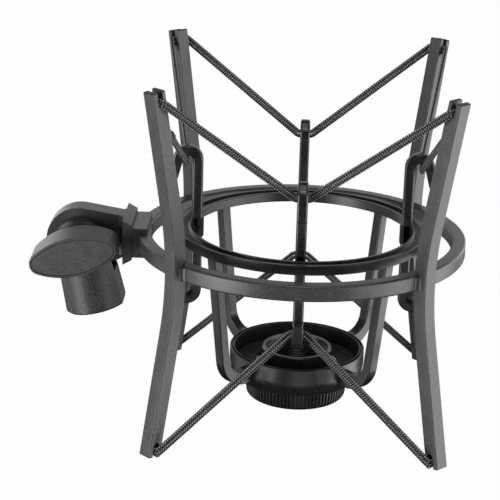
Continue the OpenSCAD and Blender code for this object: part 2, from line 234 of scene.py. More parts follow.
def roundedCopy(node, name, width, angle=40):
    # a CAD piece taken over as it is, then given the soft edges of the real casting
    piece = bpy.data.objects.new(name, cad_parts[node].data.copy())
    bpy.context.scene.collection.objects.link(piece)
    editAll(piece)
    bpy.ops.mesh.remove_doubles(threshold=mergeGap)
    bpy.ops.mesh.select_all(action="SELECT")
    bpy.ops.mesh.dissolve_limited(angle_limit=math.radians(1))
    leaveEdit()
    roundEdges(piece, width, 3, angle)
    return piece


cameraSet = {"place": (-0.00089, -0.69056, 0.28391), "pan": -1.682, "tilt": 18.805,
             "roll": -1.654, "lens": 125.65, "sensor": 36}


def makeCamera():
    pan, tilt, roll = (math.radians(cameraSet[key]) for key in ("pan", "tilt", "roll"))
    ahead = Vector((math.sin(pan) * math.cos(tilt), math.cos(pan) * math.cos(tilt), -math.sin(tilt)))
    level = Vector((math.cos(pan), -math.sin(pan), 0))
    upward = level.cross(ahead)
    right = math.cos(roll) * level - math.sin(roll) * upward
    top = math.sin(roll) * level + math.cos(roll) * upward
    lensData = bpy.data.cameras.new("camera")
    lensData.lens = cameraSet["lens"]
    lensData.sensor_width = cameraSet["sensor"]
    camera = bpy.data.objects.new("camera", lensData)
    bpy.context.scene.collection.objects.link(camera)
    axes = Matrix((right, top, -ahead)).transposed().to_4x4()
    camera.matrix_world = Matrix.Translation(cameraSet["place"]) @ axes
    bpy.context.scene.camera = camera


makeCamera()
print("camera placed")


class Wire:
    # one value in a shader; sums written with it become Math nodes
    def __init__(self, shader, socket):
        self.shader = shader
        self.socket = socket

    def sum(self, operation, first, second):
        made = self.shader.add("ShaderNodeMath", {"operation": operation}, {0: first, 1: second})
        return Wire(self.shader, made.outputs[0])

    def __add__(self, other):
        return self.sum("ADD", self, other)

    def __radd__(self, other):
        return self.sum("ADD", other, self)

    def __sub__(self, other):
        return self.sum("SUBTRACT", self, other)

    def __rsub__(self, other):
        return self.sum("SUBTRACT", other, self)

    def __mul__(self, other):
        return self.sum("MULTIPLY", self, other)

    def __rmul__(self, other):
        return self.sum("MULTIPLY", other, self)

    def fraction(self):
        return self.sum("FRACT", self, 0)

    def whole(self):
        return self.sum("FLOOR", self, 0)

    def above(self, level):
        return self.sum("GREATER_THAN", self, level)

    def power(self, exponent):
        return self.sum("POWER", self, exponent)

    def between(self, low, high, newLow, newHigh):
        made = self.shader.add("ShaderNodeMapRange", {}, {0: self, 1: low, 2: high, 3: newLow, 4: newHigh})
        return Wire(self.shader, made.outputs[0])


class Shader:
    def __init__(self, name):
        self.material = bpy.data.materials.new(name)
        self.material.use_nodes = True
        self.tree = self.material.node_tree
        self.skin = self.tree.nodes["Principled BSDF"]
        self.coords = None

    def add(self, kind, settings, inputs):
        made = self.tree.nodes.new(kind)
        for key, value in settings.items():
            setattr(made, key, value)
        for key, value in inputs.items():
            self.feed(made.inputs[key], value)
        return made

    def feed(self, socket, value):
        if isinstance(value, Wire):
            self.tree.links.new(value.socket, socket)
        elif isinstance(value, bpy.types.NodeSocket):
            self.tree.links.new(value, socket)
        else:
            socket.default_value = value

    def place(self):
        if self.coords is None:
            self.coords = self.add("ShaderNodeTexCoord", {}, {}).outputs["Object"]
        return self.coords

    def noise(self, size, detail=2.0, roughness=0.5, stretch=None):
        # size is the width of one grain in metres
        where = self.place()
        if stretch:
            where = self.add("ShaderNodeMapping", {}, {0: where, 3: stretch}).outputs[0]
        made = self.add("ShaderNodeTexNoise", {}, {
            "Vector": where, "Scale": 1 / size, "Detail": detail, "Roughness": roughness})
        return Wire(self, made.outputs[0])

    def blendColours(self, factor, first, second):
        made = self.add("ShaderNodeMix", {"data_type": "RGBA"}, {0: factor, 6: first, 7: second})
        return made.outputs[2]

    def bump(self, height, distance, strength=1.0):
        made = self.add("ShaderNodeBump", {}, {
            "Height": height, "Distance": distance, "Strength": strength})
        self.feed(self.skin.inputs["Normal"], made.outputs[0])

    def set(self, **values):
        names = {"colour": "Base Color", "roughness": "Roughness", "metallic": "Metallic",
                 "specular": "Specular IOR Level"}
        for key, value in values.items():
            self.feed(self.skin.inputs[names[key]], value)


coatLook = {"dark": (0.004, 0.004, 0.004, 1), "light": (0.06, 0.058, 0.061, 1),
            "grain": 0.5 * mm, "speck": 0.16 * mm, "patch": 9 * mm, "depth": 0.04 * mm}


def powderCoatFinish():
    shader = Shader("powderCoat")
    grain = shader.noise(coatLook["grain"], 3, 0.6)
    speck = shader.noise(coatLook["speck"], 1, 0.5)
    patch = shader.noise(coatLook["patch"], 2, 0.5)
    tone = (grain * 0.8 + patch * 0.2).between(0.35, 0.65, 0, 1)
    shader.set(
        colour=shader.blendColours(tone, coatLook["dark"], coatLook["light"]),
        roughness=(grain * 0.14 + patch * 0.08 + 0.27),
        specular=0.5)
    shader.bump(grain * 0.7 + speck * 0.3, coatLook["depth"], 0.9)
    return shader.material


satinLook = {"dark": (0.001, 0.001, 0.001, 1), "light": (0.028, 0.0275, 0.0285, 1),
             "grain": 0.5 * mm, "patch": 7 * mm, "depth": 0.03 * mm, "roughness": 0.2}
castLook = {"dark": (0.002, 0.002, 0.002, 1), "light": (0.055, 0.054, 0.056, 1),
            "grain": 0.55 * mm, "patch": 7 * mm, "depth": 0.06 * mm, "roughness": 0.34}


def satinCoatFinish(name, look):
    shader = Shader(name)
    grain = shader.noise(look["grain"], 3, 0.6)
    patch = shader.noise(look["patch"], 2, 0.5)
    shader.set(
        colour=shader.blendColours(grain.between(0.4, 0.65, 0, 1), look["dark"], look["light"]),
        roughness=(grain * 0.16 + patch * 0.06 + look["roughness"]),
        specular=0.5)
    shader.bump(grain, look["depth"], 1.0)
    return shader.material


knobLook = {"dark": (0.015, 0.015, 0.0155, 1), "light": (0.075, 0.074, 0.075, 1),
            "grain": 0.5 * mm, "cloud": 5 * mm, "depth": 0.03 * mm}


def knobPlasticFinish():
    shader = Shader("knobPlastic")
    grain = shader.noise(knobLook["grain"], 2, 0.5)
    cloud = shader.noise(knobLook["cloud"], 3, 0.5)
    shader.set(
        colour=shader.blendColours(
            (grain * 0.7 + cloud * 0.3).between(0.3, 0.7, 0, 1), knobLook["dark"], knobLook["light"]),
        roughness=(grain * 0.12 + cloud * 0.1 + 0.36))
    shader.bump(grain, knobLook["depth"], 0.8)
    return shader.material


rubberLook = {"dark": (0.004, 0.004, 0.004, 1), "dusty": (0.009, 0.009, 0.009, 1),
              "grain": 0.4 * mm, "dust": 4 * mm, "depth": 0.012 * mm}


def rubberFinish():
    shader = Shader("padRubber")
    grain = shader.noise(rubberLook["grain"], 2, 0.5)
    dust = shader.noise(rubberLook["dust"], 4, 0.6)
    shader.set(
        colour=shader.blendColours(dust.between(0.4, 0.7, 0, 1), rubberLook["dark"], rubberLook["dusty"]),
        roughness=(grain * 0.15 + 0.62))
    shader.bump(grain, rubberLook["depth"], 0.7)
    return shader.material


# yarn is the cord's own black; the lightest colour is painted glint on the strand tops, and the gap colour
# is painted shade between the strands
braidLook = {"strands": 4, "pitch": 4.2 * mm, "gap": (0.002, 0.002, 0.002, 1),
             "yarn": (0.006, 0.006, 0.0065, 1), "paintedGlint": (0.3, 0.297, 0.302, 1),
             "glint": 0.55 * mm, "depth": 0.09 * mm}


def braidFinish():
    # the UV map runs in turns of the pitch along the cord and once around it
    shader = Shader("elasticBraid")
    along = shader.add("ShaderNodeSeparateXYZ", {}, {
        0: shader.add("ShaderNodeUVMap", {"uv_map": "braid"}, {}).outputs[0]})
    lengthwise = Wire(shader, along.outputs[0])
    around = Wire(shader, along.outputs[1])
    first = lengthwise * braidLook["strands"] + around * braidLook["strands"]
    second = lengthwise * braidLook["strands"] - around * braidLook["strands"]
    crossing = ((first.whole() + second.whole()) * 0.5).fraction().above(0.25)
    firstBow = 1 - (second.fraction() * 2 - 1).power(2)
    secondBow = 1 - (first.fraction() * 2 - 1).power(2)
    bow = firstBow * crossing + secondBow * (1 - crossing)
    # spots of painted glint on the tops of the strands that lie over; the same noise also varies the
    # roughness
    glint = shader.noise(braidLook["glint"], 2, 0.6)
    yarn = shader.blendColours(
        (glint.between(0.3, 0.6, 0.35, 1) * crossing), braidLook["yarn"], braidLook["paintedGlint"])
    # the colour turns to the gap colour towards the valleys between the strands: painted shade
    shader.set(
        colour=shader.blendColours(bow.between(0.35, 0.85, 0, 1), braidLook["gap"], yarn),
        roughness=(glint * 0.2 + 0.55), specular=0.3)
    shader.bump(bow, braidLook["depth"], 0.9)
    return shader.material


steelLook = {"dull": (0.42, 0.42, 0.43, 1), "clean": (0.56, 0.56, 0.58, 1), "marks": 0.3 * mm,
             "stretch": (1, 1, 8), "detail": (3, 0.6), "stain": 3 * mm, "roughness": 0.24}
brassLook = {"dull": (0.5, 0.36, 0.17, 1), "clean": (0.66, 0.5, 0.26, 1), "marks": 0.25 * mm,
             "stretch": (0.3, 0.3, 4), "detail": (2, 0.5), "stain": 4 * mm, "roughness": 0.22}


def bareMetalFinish(name, look):
    shader = Shader(name)
    marks = shader.noise(look["marks"], *look["detail"], look["stretch"])
    stain = shader.noise(look["stain"], 3, 0.6)
    shader.set(
        colour=shader.blendColours(stain, look["dull"], look["clean"]),
        roughness=(marks * 0.2 + look["roughness"]), metallic=1.0)
    shader.bump(marks, 0.006 * mm, 0.6)
    return shader.material


powderCoat = powderCoatFinish()
satinCoat = satinCoatFinish("satinCoat", satinLook)
castCoat = satinCoatFinish("castCoat", castLook)
knobPlastic = knobPlasticFinish()
padRubber = rubberFinish()
elasticBraid = braidFinish()
plainSteel = bareMetalFinish("plainSteel", steelLook)
turnedBrass = bareMetalFinish("turnedBrass", brassLook)
print("finishes mixed")


outerRing = {"outside": 68.1 * mm, "inside": 62.4 * mm, "top": 58 * mm, "bottom": 51.5 * mm,
             "edge": 0.9 * mm, "screwRadius": 1.6 * mm, "sinkRadius": 3.7 * mm, "sinkDepth": 2.4 * mm,
             "sinkX": -63.3 * mm}
ringMiddle = (outerRing["top"] + outerRing["bottom"]) / 2


def makeOuterRing():
    ring = turnedShape("outerRing", [
        (outerRing["inside"], outerRing["bottom"]), (outerRing["outside"], outerRing["bottom"]),
        (outerRing["outside"], outerRing["top"]), (outerRing["inside"], outerRing["top"])], 160)
    roundEdges(ring, outerRing["edge"], 4)
    clearSelection()
    bpy.ops.mesh.primitive_cone_add(
        vertices=32, radius1=outerRing["screwRadius"], radius2=outerRing["sinkRadius"],
        depth=outerRing["sinkDepth"], location=(outerRing["sinkX"], 0, ringMiddle),
        rotation=(0, math.pi / 2, 0))
    sink = bpy.context.object
    bakePlace(sink)
    cutAway(ring, sink)
    smoothOver(ring)
    wear(ring, powderCoat, "frame", "powder_coat", "outer_ring")


makeOuterRing()


legBar = {"side": 6.1 * mm, "waist": 71.9 * mm, "bend": 125 * mm, "leanUp": 10.65, "leanDown": 11.1,
          "upper": 51.7 * mm, "lower": 51.4 * mm, "edge": 0.5 * mm, "bendSteps": 14,
          "slotWidth": 2.2 * mm, "slotWall": 2.2 * mm, "slotDepth": 6.2 * mm, "slotEdge": 0.25 * mm,
          "fillet": 1.8 * mm, "filletInset": 2 * mm, "filletOverlap": 0.4 * mm, "filletEdge": 0.5 * mm}
bendCentre = (legBar["waist"] + legBar["bend"], ringMiddle)


def legSection(lean, beyond):
    # lean is the angle round the bend, beyond the distance past its end
    ahead = (math.sin(math.radians(lean)) * beyond, math.cos(math.radians(lean)) * beyond)
    return [tuple(here + step for here, step in zip(pointOn(bendCentre, radius, 180 - lean), ahead))
            for radius in (legBar["bend"] + legBar["side"], legBar["bend"])]


def slotCutter(lean, beyond, flip):
    clearSelection()
    radius = legBar["slotWidth"] / 2
    bpy.ops.mesh.primitive_cylinder_add(
        vertices=32, radius=radius, depth=3 * legBar["side"], rotation=(math.pi / 2, 0, 0))
    cutter = bpy.context.object
    bakePlace(cutter)
    pickPoints(cutter, lambda point: point.z > 0)
    bpy.ops.transform.translate(value=(0, 0, 3 * legBar["slotDepth"]))
    leaveEdit()
    inner, outer = legSection(lean, beyond - flip * (legBar["slotDepth"] - radius))
    share = (legBar["slotWall"] + radius) / legBar["side"]
    x, z = (start + share * (end - start) for start, end in zip(outer, inner))
    cutter.location = (x, 0, z)
    cutter.rotation_euler.y = math.radians(lean) + (math.pi if flip < 0 else 0)
    bakePlace(cutter)
    return cutter


def legFillet(side):
    # hollow corner between the ring's face and one side of a leg
    radius = legBar["fillet"]
    half = legBar["side"] / 2
    reach = outerRing["outside"] + radius
    centre = (math.sqrt(reach ** 2 - (half + radius) ** 2), half + radius)
    toRing = math.degrees(math.atan2(centre[1], centre[0])) + 180
    inset = outerRing["outside"] - legBar["filletInset"]
    overlap = legBar["filletOverlap"]
    curve = [pointOn(centre, radius, 270 + (toRing - 270) * step / 8) for step in range(9)]
    outline = [(inset, half - overlap), (curve[0][0], half - overlap)] + curve
    share = inset / outerRing["outside"]
    outline.append((share * curve[-1][0], share * curve[-1][1]))
    fillet = raisedShape(
        "fillet", [(x, side * y, outerRing["bottom"] + overlap) for x, y in outline],
        (0, 0, outerRing["top"] - outerRing["bottom"] - 3 * overlap))
    roundEdges(fillet, legBar["filletEdge"], 3, 60)
    return fillet


def makeLegs():
    sections = [legSection(-legBar["leanDown"], -legBar["lower"])]
    whole = legBar["leanUp"] + legBar["leanDown"]
    for step in range(legBar["bendSteps"] + 1):
        sections.append(legSection(whole * step / legBar["bendSteps"] - legBar["leanDown"], 0))
    sections.append(legSection(legBar["leanUp"], legBar["upper"]))
    bar = sweepBar("legBar", sections, legBar["side"])
    roundEdges(bar, legBar["edge"], 4)
    cutAway(bar, slotCutter(legBar["leanUp"], legBar["upper"], 1))
    cutAway(bar, slotCutter(-legBar["leanDown"], -legBar["lower"], -1))
    roundEdges(bar, legBar["slotEdge"], 2, 50)
    joinPieces(bar, [legFillet(1), legFillet(-1)])
    smoothOver(bar, 30)
    for place, angle in legAngles.items():
        leg = turnedCopy(bar, "leg" + place, angle)
        wear(leg, powderCoat, "frame", "powder_coat", "leg_" + legNodes[place])
    bpy.data.objects.remove(bar)


makeLegs()
print("outer frame done")


castEdges = {"neck": 0.7 * mm, "lug": 0.5 * mm, "adapter": 0.3 * mm}


def makeNeckAndLug():
    neck = roundedCopy("neck_block", "neckBlock", castEdges["neck"])
    smoothOver(neck)
    wear(neck, powderCoat, "frame", "powder_coat", "neck_block")
    lug = roundedCopy("fixed_lug", "fixedLug", castEdges["lug"])
    smoothOver(lug)
    wear(lug, powderCoat, "frame", "powder_coat", "fixed_lug")


makeNeckAndLug()


innerRing = {"inside": 45.5 * mm, "outside": 51.7 * mm, "top": 60.5 * mm, "bottom": 56.5 * mm,
             "rib": 1.3 * mm, "groove": 1.25 * mm, "edge": 0.32 * mm}


def makeInnerRing():
    low = innerRing["top"] - innerRing["groove"]
    ribIn = innerRing["inside"] + innerRing["rib"]
    ribOut = innerRing["outside"] - innerRing["rib"]
    ring = turnedShape("innerRing", [
        (innerRing["inside"], innerRing["bottom"]), (innerRing["outside"], innerRing["bottom"]),
        (innerRing["outside"], innerRing["top"]), (ribOut, innerRing["top"]), (ribOut, low),
        (ribIn, low), (ribIn, innerRing["top"]), (innerRing["inside"], innerRing["top"])], 160)
    roundEdges(ring, innerRing["edge"], 3)
    smoothOver(ring)
    wear(ring, satinCoat, "cradle", "satin_coat", "inner_ring")


makeInnerRing()

hookStrip = {"bendX": 47.6 * mm, "upperZ": 87.1 * mm, "lowerZ": 30.5 * mm, "gap": 1.9 * mm,
             "thick": 4.3 * mm, "width": 4.2 * mm, "slant": 14, "upperProng": 9.7 * mm,
             "lowerProng": 8.2 * mm, "tipTaper": (0.2 * mm, 0.3 * mm),
             "padThick": 0.6 * mm, "padReach": 1.5 * mm, "edge": 0.95 * mm, "padEdge": 0.3 * mm,
             "bendSteps": 16}


def prongTip(centre, length, flip):
    slant = math.radians(hookStrip["slant"])
    tip = []
    taperIn, taperOut = hookStrip["tipTaper"]
    for out in (hookStrip["gap"] + taperIn, hookStrip["gap"] + hookStrip["thick"] - taperOut):
        x = out * math.cos(slant) + length * math.sin(slant)
        z = out * math.sin(slant) - length * math.cos(slant)
        tip.append((centre[0] + x, centre[1] + flip * z))
    return tip


def makeHooks():
    upper = (hookStrip["bendX"], hookStrip["upperZ"])
    lower = (hookStrip["bendX"], hookStrip["lowerZ"])
    outside = hookStrip["gap"] + hookStrip["thick"]
    inner = hookStrip["bendX"] - hookStrip["gap"]
    outer = hookStrip["bendX"] - outside
    steps = hookStrip["bendSteps"]
    sweepAngle = 180 - hookStrip["slant"]
    sections = [prongTip(upper, hookStrip["upperProng"], 1)]
    for step in range(steps + 1):
        angle = hookStrip["slant"] + sweepAngle * step / steps
        sections.append([pointOn(upper, hookStrip["gap"], angle), pointOn(upper, outside, angle)])
    for step in range(steps + 1):
        angle = 180 + sweepAngle * step / steps
        sections.append([pointOn(lower, hookStrip["gap"], angle), pointOn(lower, outside, angle)])
    sections.append(prongTip(lower, hookStrip["lowerProng"], -1))
    strip = sweepBar("hookStrip", sections, hookStrip["width"])
    roundEdges(strip, hookStrip["edge"], 4)
    reach = hookStrip["padReach"] + hookStrip["padThick"]
    pad = sweepBar("pad", [[(inner, height), (outer - hookStrip["padThick"], height)] for height in
                           (innerRing["top"] + reach, innerRing["bottom"] - reach)], hookStrip["width"])
    roundEdges(pad, hookStrip["padEdge"], 2)
    joinPieces(strip, [pad])
    smoothOver(strip)
    for place, angle in hookAngles.items():
        hook = turnedCopy(strip, "hook" + place, angle)
        wear(hook, satinCoat, "cradle", "satin_coat", "hook_" + place.lower())
    bpy.data.objects.remove(strip)


makeHooks()

basketArm = {"topX": 50.4 * mm, "lean": 7.3, "thick": 4 * mm, "width": 4.8 * mm, "outsideLow": -2 * mm,
             "insideLow": 4.2 * mm, "outsideBend": 13.5 * mm, "insideBend": 8 * mm, "endX": 27.4 * mm,
             "sink": 0.5 * mm, "edge": 0.6 * mm, "bendSteps": 12}


def makeBasketArms():
    lean = math.radians(basketArm["lean"])
    slope = math.tan(lean)
    drop = basketArm["thick"] / math.cos(lean)
    top = innerRing["bottom"] + basketArm["sink"]
    centres = []
    for low, bend, start in ((basketArm["outsideLow"], basketArm["outsideBend"], basketArm["topX"]),
                             (basketArm["insideLow"], basketArm["insideBend"], basketArm["topX"] - drop)):
        height = low + bend
        centres.append((start - (innerRing["bottom"] - height) * slope - bend / math.cos(lean), height))
    shift = basketArm["sink"] * slope
    sections = [[(basketArm["topX"] + shift, top), (basketArm["topX"] - drop + shift, top)]]
    for step in range(basketArm["bendSteps"] + 1):
        angle = -basketArm["lean"] - (90 - basketArm["lean"]) * step / basketArm["bendSteps"]
        sections.append([pointOn(centres[0], basketArm["outsideBend"], angle),
                         pointOn(centres[1], basketArm["insideBend"], angle)])
    sections.append([(basketArm["endX"], basketArm[low]) for low in ("outsideLow", "insideLow")])
    strip = sweepBar("armStrip", sections, basketArm["width"])
    roundEdges(strip, basketArm["edge"], 3)
    smoothOver(strip)
    for place, angle in legAngles.items():
        arm = turnedCopy(strip, "basketArm" + place, angle)
        wear(arm, satinCoat, "cradle", "satin_coat", "basket_arm_" + legNodes[place])
    bpy.data.objects.remove(strip)


makeBasketArms()

cupShape = {"outside": 28.5 * mm, "inside": 26.5 * mm, "rim": 6.65 * mm, "straight": 1 * mm,
            "low": -6 * mm, "lowRadius": 25 * mm, "floor": -1.5 * mm, "hole": 14.9 * mm, "edge": 0.2 * mm,
            "rimGroove": (27.0 * mm, 28.0 * mm), "rimGrooveDepth": 1.2 * mm}


def makeCup():
    height = cupShape["straight"] - cupShape["low"]
    width = cupShape["outside"] - cupShape["lowRadius"]
    radius = (height ** 2 + width ** 2) / (2 * width)
    centre = (cupShape["outside"] - radius, cupShape["straight"])
    startAngle = -math.degrees(math.asin(height / radius))
    side = [pointOn(centre, radius, startAngle * (1 - step / 8)) for step in range(9)]
    grooveIn, grooveOut = cupShape["rimGroove"]
    grooveLow = cupShape["rim"] - cupShape["rimGrooveDepth"]
    cup = turnedShape("cup", [(cupShape["hole"], cupShape["low"])] + side + [
        (cupShape["outside"], cupShape["rim"]), (grooveOut, cupShape["rim"]), (grooveOut, grooveLow),
        (grooveIn, grooveLow), (grooveIn, cupShape["rim"]), (cupShape["inside"], cupShape["rim"]),
        (cupShape["inside"], cupShape["floor"]), (cupShape["hole"], cupShape["floor"])], 144)
    roundEdges(cup, cupShape["edge"], 2)
    smoothOver(cup)
    wear(cup, satinCoat, "cradle", "satin_coat", "cup")


seatPad = {"inside": 17.5 * mm, "outside": 26.3 * mm, "bottom": -1.5 * mm, "top": 0.0, "edge": 0.15 * mm,
           "grooveRadius": 22 * mm, "grooveHalf": 0.4 * mm, "grooveDepth": 0.4 * mm}


def makeSeatPad():
    middle = seatPad["grooveRadius"]
    half = seatPad["grooveHalf"]
    pad = turnedShape("seatPad", [
        (seatPad["inside"], seatPad["bottom"]), (seatPad["outside"], seatPad["bottom"]),
        (seatPad["outside"], seatPad["top"]), (middle + half, seatPad["top"]),
        (middle + half, -seatPad["grooveDepth"]), (middle - half, -seatPad["grooveDepth"]),
        (middle - half, seatPad["top"]), (seatPad["inside"], seatPad["top"])], 120)
    roundEdges(pad, seatPad["edge"], 2)
    smoothOver(pad)
    wear(pad, padRubber, "cradle", "pad_rubber", "seat_pad")


makeCup()
makeSeatPad()
print("cradle done")


lockRing = {"bore": 12.8 * mm, "sleeve": 14.8 * mm, "sleeveTop": 6.65 * mm, "grip": 21.8 * mm,
            "gripTop": -6.3 * mm, "gripLow": -14.5 * mm, "corner": 2 * mm, "cornerIn": 2.6 * mm,
            "boreEdge": 0.6 * mm, "sleeveEdge": 0.4 * mm, "gripEdge": (0.35 * mm, 1 * mm),
            "ribs": 84, "ribColumns": 5, "ribDepth": 0.8 * mm, "ribReach": 1.6 * mm, "ribDrop": 0.5 * mm,
            "clipGroove": 0.5 * mm, "clipLow": -1.45 * mm, "clipHigh": -0.35 * mm,
            "threadPitch": 1.1 * mm, "threadDepth": 0.35 * mm, "threadStart": 1.2 * mm}


def threadOutline():
    # ridges down the bore, from the top
    bore, pitch, start = lockRing["bore"], lockRing["threadPitch"], lockRing["threadStart"]
    outline = []
    for turn in range(int((lockRing["sleeveTop"] - lockRing["gripLow"] - 2 * start) / pitch)):
        crest = lockRing["sleeveTop"] - start - turn * pitch
        outline += [(bore, crest), (bore + lockRing["threadDepth"], crest - pitch / 2)]
    outline.append((bore, lockRing["gripLow"] + 1 * mm))
    return outline


def makeLockRing():
    bore, grip, sleeve = lockRing["bore"], lockRing["grip"], lockRing["sleeve"]
    gripLow, gripTop, sleeveTop = lockRing["gripLow"], lockRing["gripTop"], lockRing["sleeveTop"]
    clipLow, clipHigh, edge = lockRing["clipLow"], lockRing["clipHigh"], lockRing["sleeveEdge"]
    edgeIn, edgeDown = lockRing["gripEdge"]
    groove = sleeve - lockRing["clipGroove"]
    centre = (grip - lockRing["cornerIn"], gripLow + lockRing["corner"])
    corner = [pointOn(centre, lockRing["corner"], -90 + 70 * step / 6) for step in range(7)]
    columns = lockRing["ribs"] * lockRing["ribColumns"]
    ring = turnedShape("lockRing", [(bore + lockRing["boreEdge"], gripLow)] + corner + [
        (grip, gripTop - edgeDown), (grip - edgeIn, gripTop), (sleeve, gripTop), (sleeve, clipLow),
        (groove, clipLow), (groove, clipHigh), (sleeve, clipHigh), (sleeve, sleeveTop - edge),
        (sleeve - edge, sleeveTop), (bore + edge, sleeveTop)] + threadOutline(), columns)

    def inGroove(point):
        column = round(math.atan2(point.y, point.x) / (2 * math.pi) * columns) % lockRing["ribColumns"]
        outside = math.hypot(point.x, point.y) > grip - lockRing["ribReach"]
        return column > 1 and outside and point.z < gripTop - lockRing["ribDrop"]

    pickPoints(ring, inGroove)
    shrink = 1 - lockRing["ribDepth"] / grip
    bpy.ops.transform.resize(value=(shrink, shrink, 1), center_override=(0, 0, 0))
    leaveEdit()
    smoothOver(ring, 28)
    wear(ring, satinCoat, "mic_nut", "satin_coat", "lock_ring")


makeLockRing()
print("lock ring done")


cordRun = {"thick": 1.7 * mm, "spacing": 1.78 * mm, "slotZ": (125 * mm, -17.7 * mm),
           "hookZ": (86.8 * mm, 30.8 * mm), "hookR": 48.2 * mm, "slotHalf": 4.2 * mm,
           "hookHalf": 2.9 * mm, "slotEase": 1.35 * mm, "hookEase": 1.1 * mm, "step": 0.26 * mm,
           "sides": 18, "relief": 0.07 * mm,
           "blendUpper": ((0, 0, 123.2 * mm), (0, 0, 88.6 * mm)),
           "blendLower": ((0, 0, -15.9 * mm), (0, 0, 29 * mm))}
levels = {"upper": 0, "lower": 1}
strands = {"high": 1, "low": -1}


def slotRadius(level, height):
    lean = math.radians(legBar["leanUp"] if level == 0 else legBar["leanDown"])
    side = 1 if level == 0 else -1
    reach = legBar["bend"] + legBar["slotWall"] + legBar["slotWidth"] / 2
    return bendCentre[0] - reach / math.cos(lean) + side * (height - ringMiddle) * math.tan(lean)


def spanPitch(level):
    reach = slotRadius(level, cordRun["slotZ"][level]) * math.sqrt(0.5)
    flat = math.hypot(reach - cordRun["hookR"], reach)
    return math.atan(abs(cordRun["slotZ"][level] - cordRun["hookZ"][level]) / flat)


def cordCorner(level, side, index):
    # corners run anticlockwise, two at each hook and two at each slot
    place = index // 2
    angle = math.radians(45 * place)
    atSlot = place % 2 == 1
    upward = 1 if level == 0 else -1
    shift = side * upward * cordRun["spacing"] / 2 * math.tan(spanPitch(level) / 2)
    half = cordRun["slotHalf"] + shift if atSlot else cordRun["hookHalf"] - shift
    across = half if index % 2 else -half
    height = cordRun["slotZ"][level] if atSlot else cordRun["hookZ"][level]
    radius = slotRadius(level, height) if atSlot else cordRun["hookR"]
    return Vector((radius * math.cos(angle) - across * math.sin(angle),
                   radius * math.sin(angle) + across * math.cos(angle),
                   height + side * cordRun["spacing"] / 2))


def cordRoute(level, side):
    corners = [cordCorner(level, side, index) for index in range(16)]
    route = []
    for index, corner in enumerate(corners):
        ease = cordRun["slotEase"] if (index // 2) % 2 == 1 else cordRun["hookEase"]
        entry = corner + ease * (corners[index - 1] - corner).normalized()
        leave = corner + ease * (corners[(index + 1) % 16] - corner).normalized()
        for step in range(7):
            share = step / 6
            rest = 1 - share
            route.append(rest ** 2 * entry + 2 * share * rest * corner + share ** 2 * leave)
    return route


def evenSteps(route, step):
    lengths = [(route[(index + 1) % len(route)] - point).length for index, point in enumerate(route)]
    count = round(sum(lengths) / step)
    spacing = sum(lengths) / count
    points, index, done = [], 0, 0.0
    for number in range(count):
        target = number * spacing
        while done + lengths[index] < target:
            done += lengths[index]
            index += 1
        share = (target - done) / lengths[index]
        points.append(route[index].lerp(route[(index + 1) % len(route)], share))
    return points, sum(lengths)


def braidHeight(along, around):
    count = braidLook["strands"]
    first = (along + around) * count
    second = (along - around) * count
    over = (math.floor(first) + math.floor(second)) % 2 == 1
    offset = (second if over else first) % 1
    return 1 - (2 * offset - 1) ** 2


def makeCord(name, level, side):
    points, length = evenSteps(cordRoute(level, side), cordRun["step"])
    count = len(points)
    sides = cordRun["sides"]
    turns = round(length / braidLook["pitch"])
    radius = cordRun["thick"] / 2 - cordRun["relief"]
    spots, faces, marks = [], [], []
    for index, point in enumerate(points):
        ahead = (points[(index + 1) % count] - points[index - 1]).normalized()
        across = ahead.cross(Vector((0, 0, 1))).normalized()
        lift = across.cross(ahead)
        for corner in range(sides):
            angle = 2 * math.pi * corner / sides
            reach = radius + cordRun["relief"] * braidHeight(turns * index / count, corner / sides)
            spots.append(point + reach * (math.cos(angle) * across + math.sin(angle) * lift))
    for index in range(count):
        following = (index + 1) % count
        for corner in range(sides):
            after = (corner + 1) % sides
            faces.append((index * sides + corner, index * sides + after,
                          following * sides + after, following * sides + corner))
            start, end = turns * index / count, turns * (index + 1) / count
            low, high = corner / sides, (corner + 1) / sides
            marks += [(start, low), (start, high), (end, high), (end, low)]
    mesh = bpy.data.meshes.new(name)
    mesh.from_pydata(spots, [], faces)
    layer = mesh.uv_layers.new(name="braid")
    for mark, spot in zip(layer.data, marks):
        mark.uv = spot
    cord = bpy.data.objects.new(name, mesh)
    bpy.context.scene.collection.objects.link(cord)
    editAll(cord)
    bpy.ops.mesh.normals_make_consistent(inside=False)
    leaveEdit()
    workOn(cord)
    bpy.ops.object.shade_smooth()
    return cord


def makeCords():
    for levelName, level in levels.items():
        for strandName, side in strands.items():
            cord = makeCord(levelName + "Cord" + strandName.title(), level, side)
            wear(cord, elasticBraid, None, "elastic_braid", levelName + "_cord_" + strandName)
            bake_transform(cord)


joiner = {"thick": 2.4 * mm, "length": 3.4 * mm, "aside": 0.35 * mm, "share": 0.6, "edge": 0.35 * mm,
          "waist": 0.86, "waistHalf": 0.45 * mm,
          "corners": {"upperHigh": 10, "upperLow": 2, "lowerHigh": 2, "lowerLow": 6}}


